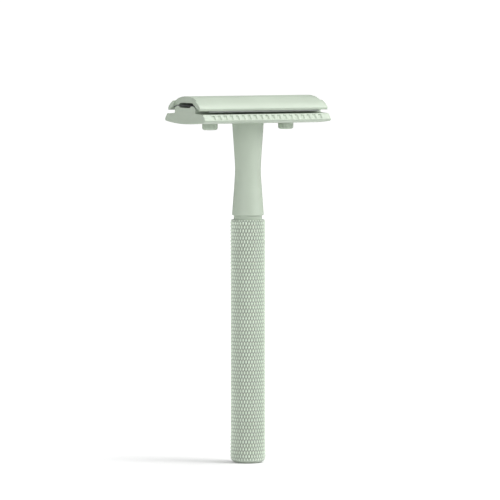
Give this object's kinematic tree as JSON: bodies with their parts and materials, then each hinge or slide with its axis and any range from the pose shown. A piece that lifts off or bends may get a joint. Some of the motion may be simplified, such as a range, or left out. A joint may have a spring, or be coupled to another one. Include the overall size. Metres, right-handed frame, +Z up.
{
  "type": "safety razor",
  "caption": "Double-edge safety razor that stands on its foot: knurled grip, waisted neck, notched guard plate and a screw-down cap that clamps a thin bent blade.",
  "frame": {"origin": "middle of the flat foot of the handle", "axes": "+Z up the handle from the foot to the head, +X along the head, +Y across the head from one shaving edge to the other"},
  "size_m": [0.0436, 0.0258, 0.1111],
  "materials": {
    "sage_coat": "matte",
    "thread_steel": "satin",
    "blade_steel": "satin",
    "insert_brass": "satin",
    "weight_steel": "matte"
  },
  "bodies": {
    "handle": {"neck": "sage_coat", "threaded_insert": "insert_brass", "grip_sleeve": "sage_coat", "balance_weight": "weight_steel", "foot_plug": "sage_coat"},
    "plate": {"base_plate": "sage_coat"},
    "cap": {"cap": "sage_coat", "threaded_stud": "thread_steel", "left_post": "sage_coat", "right_post": "sage_coat"},
    "blade": {"blade": "blade_steel"}
  },
  "joints": [
    {"name": "head_unscrew", "type": "hinge", "parent": "handle", "child": "plate", "pos_m": [0, 0, 0.10275], "axis": [0, 0, 1], "range_deg": [0, 3420]},
    {"name": "cap_rise", "type": "slide", "parent": "plate", "child": "cap", "axis": [0, 0, 1], "range_m": [0, 0.0076]},
    {"name": "blade_rise", "type": "slide", "parent": "plate", "child": "blade", "axis": [0, 0, 1], "range_m": [0, 0.0038]}
  ],
  "couplings": [
    {"joint": "cap_rise", "follows": "head_unscrew", "m_per_rad": 0.00012732},
    {"joint": "blade_rise", "follows": "head_unscrew", "m_per_rad": 0.000063662}
  ]
}
